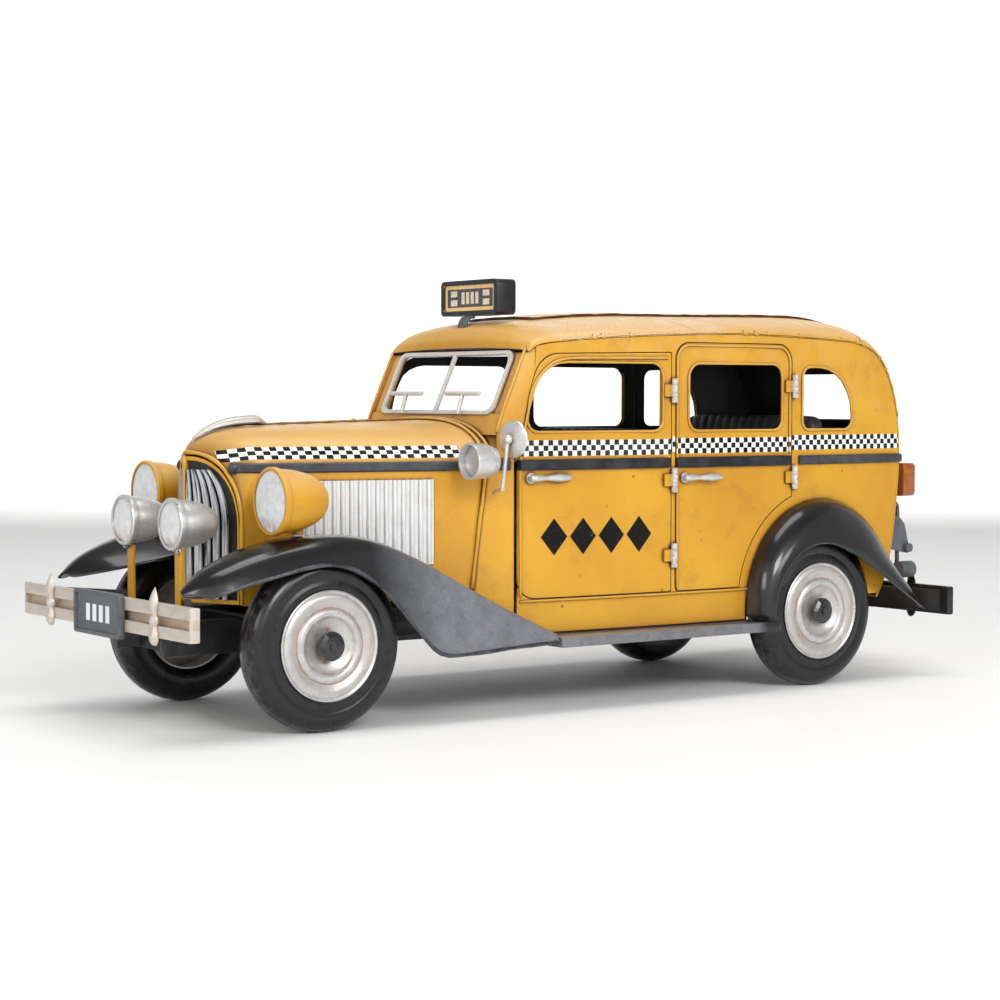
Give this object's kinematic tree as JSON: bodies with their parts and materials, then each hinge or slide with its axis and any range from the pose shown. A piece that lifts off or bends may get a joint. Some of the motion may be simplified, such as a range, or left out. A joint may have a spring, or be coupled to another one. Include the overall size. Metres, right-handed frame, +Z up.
{
  "type": "friction tin car",
  "caption": "Vintage-style pressed tin taxi toy with hinged doors, open windows, turning wheels on axles and a friction flywheel drive.",
  "frame": {"origin": "on the ground under the middle of the car", "axes": "+X towards the car's front, +Y towards its left side, +Z up"},
  "size_m": [0.3918, 0.143, 0.1753],
  "materials": {
    "chassis": "satin black, dusty",
    "fender_black": "glossy black domes over satin grey valances",
    "ochre": "aged ochre enamel with brown grime at the beads",
    "bright_tin": "silvered tin with scratches and rust specks",
    "bumper_tin": "silver-white paint with beige grime",
    "lens_tin": "light silver paint, concentric rings",
    "belt_black": "satin black",
    "seat_black": "dark grey, pleated",
    "wheel_black": "black",
    "plate_grey": "dark grey with a raised border",
    "sign_black": "glossy black with a cream frame",
    "bracket_grey": "satin grey",
    "amber": "brown amber",
    "tyre_black": "glossy smooth black",
    "disc_silver": "aged silver with brown rust rings",
    "nut_black": "glossy black, silver stud",
    "steel": "plain steel"
  },
  "bodies": {
    "root": {"chassis_rails": "chassis", "floor_pan": "chassis", "running_boards": "fender_black", "front_fender_left": "fender_black", "front_fender_right": "fender_black", "rear_fender_left": "fender_black", "rear_fender_right": "fender_black", "side_panel_left": "ochre", "side_panel_right": "ochre", "roof_panel": "ochre", "rear_panel": "ochre", "cowl_panel": "ochre", "windscreen_surround": "ochre", "windscreen_frame": "bright_tin", "wipers": "bright_tin", "hood_shell": "ochre", "louvre_panels": "bright_tin", "grille_shell": "ochre", "grille_bars": "bright_tin", "hood_ornament": "bright_tin", "belt_mouldings": "belt_black", "front_seat": "seat_black", "rear_seat": "seat_black", "front_bumper": "bumper_tin", "rear_bumper": "bumper_tin", "bumper_uprights": "bumper_tin", "bumper_arms": "chassis", "number_plate": "plate_grey", "headlamps": "ochre", "lamp_lenses": "lens_tin", "fog_lamps": "bright_tin", "fog_lamp_posts": "ochre", "side_lamps": "bright_tin", "mirrors": "bright_tin", "roof_sign_box": "sign_black", "roof_sign_bracket": "bracket_grey", "tail_lamps": "amber", "tail_brackets": "bracket_grey", "hinge_pins": "steel", "gearbox_frame": "steel"},
    "front_wheelset": {"front_axle": "steel", "front_tyres": "tyre_black", "front_discs": "disc_silver", "front_hub_nuts": "nut_black"},
    "rear_wheelset": {"rear_axle": "steel", "rear_tyres": "tyre_black", "rear_discs": "disc_silver", "rear_hub_nuts": "nut_black", "axle_gear": "steel"},
    "idler": {"idler_cluster": "steel"},
    "flywheel": {"flywheel": "steel"},
    "steering": {"steering_wheel": "wheel_black"},
    "door_front_left": {"door_front_left": "ochre", "handle_front_left": "bright_tin"},
    "door_front_right": {"door_front_right": "ochre", "handle_front_right": "bright_tin"},
    "door_rear_left": {"door_rear_left": "ochre", "handle_rear_left": "bright_tin"},
    "door_rear_right": {"door_rear_right": "ochre", "handle_rear_right": "bright_tin"}
  },
  "joints": [
    {"name": "front_axle_spin", "type": "hinge", "parent": "root", "child": "front_wheelset", "pos_m": [0.13, 0, 0.033], "axis": [0, 1, 0], "continuous": true},
    {"name": "rear_axle_spin", "type": "hinge", "parent": "root", "child": "rear_wheelset", "pos_m": [-0.12, 0, 0.033], "axis": [0, 1, 0], "continuous": true},
    {"name": "idler_spin", "type": "hinge", "parent": "root", "child": "idler", "pos_m": [-0.1092, 0, 0.04587], "axis": [0, 1, 0], "continuous": true},
    {"name": "flywheel_spin", "type": "hinge", "parent": "root", "child": "flywheel", "pos_m": [-0.0924, 0, 0.04587], "axis": [0, 1, 0], "continuous": true},
    {"name": "door_front_left_swing", "type": "hinge", "parent": "root", "child": "door_front_left", "pos_m": [-0.0415, 0.0568, 0.095], "axis": [0, 0, 1], "range_deg": [0, 65]},
    {"name": "door_front_right_swing", "type": "hinge", "parent": "root", "child": "door_front_right", "pos_m": [-0.0415, -0.0568, 0.095], "axis": [0, 0, 1], "range_deg": [-65, 0]},
    {"name": "door_rear_left_swing", "type": "hinge", "parent": "root", "child": "door_rear_left", "pos_m": [-0.1095, 0.0568, 0.095], "axis": [0, 0, 1], "range_deg": [0, 65]},
    {"name": "door_rear_right_swing", "type": "hinge", "parent": "root", "child": "door_rear_right", "pos_m": [-0.1095, -0.0568, 0.095], "axis": [0, 0, 1], "range_deg": [-65, 0]},
    {"name": "steering_wheel_turn", "type": "hinge", "parent": "root", "child": "steering", "pos_m": [0.01, 0.022, 0.104], "axis": [0.788, 0, -0.6157], "range_deg": [-170, 170]}
  ],
  "couplings": [
    {"joint": "idler_spin", "follows": "rear_axle_spin", "ratio": -2.5},
    {"joint": "flywheel_spin", "follows": "rear_axle_spin", "ratio": 6.25}
  ]
}
